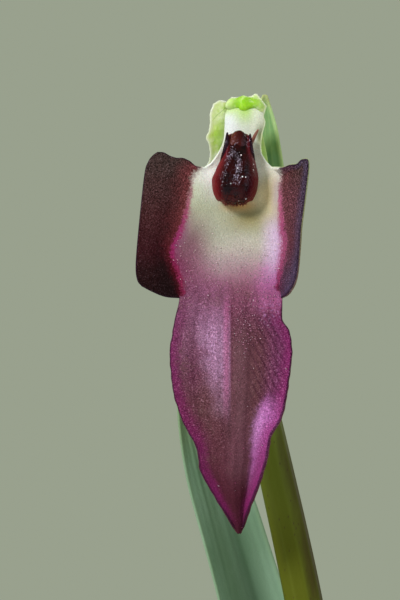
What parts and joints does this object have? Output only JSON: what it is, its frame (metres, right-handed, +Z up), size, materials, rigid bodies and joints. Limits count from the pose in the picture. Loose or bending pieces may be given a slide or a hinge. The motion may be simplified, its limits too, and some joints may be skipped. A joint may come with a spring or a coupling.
{
  "type": "potted tongue orchid",
  "caption": "Flowering orchid in a plain clay pot: channelled leaves round a leaning stem that bears a spread tongue-shaped lip with a glossy swelling at its throat.",
  "frame": {"origin": "centre of the pot's flat underside", "axes": "+Z up along the pot's axis; the flower faces -Y; the stem leans towards -X"},
  "size_m": [0.09, 0.1061, 0.2395],
  "materials": {
    "clay": "matte",
    "potting_mix": "matte",
    "stem_green": "satin",
    "leaf_green": "satin",
    "fresh_green": "satin",
    "lip_maroon": "satin",
    "callus_red": "gloss"
  },
  "bodies": {
    "root": {"pot": "clay", "soil": "potting_mix", "stem": "stem_green", "rosette_leaf_1": "leaf_green", "rosette_leaf_2": "leaf_green", "rosette_leaf_3": "leaf_green", "rosette_leaf_4": "leaf_green", "rosette_leaf_5": "leaf_green", "rosette_leaf_6": "leaf_green", "stem_leaf_1": "leaf_green", "stem_leaf_2": "leaf_green", "bract": "leaf_green", "ovary": "fresh_green", "lip": "lip_maroon", "callus": "callus_red"}
  },
  "joints": []
}
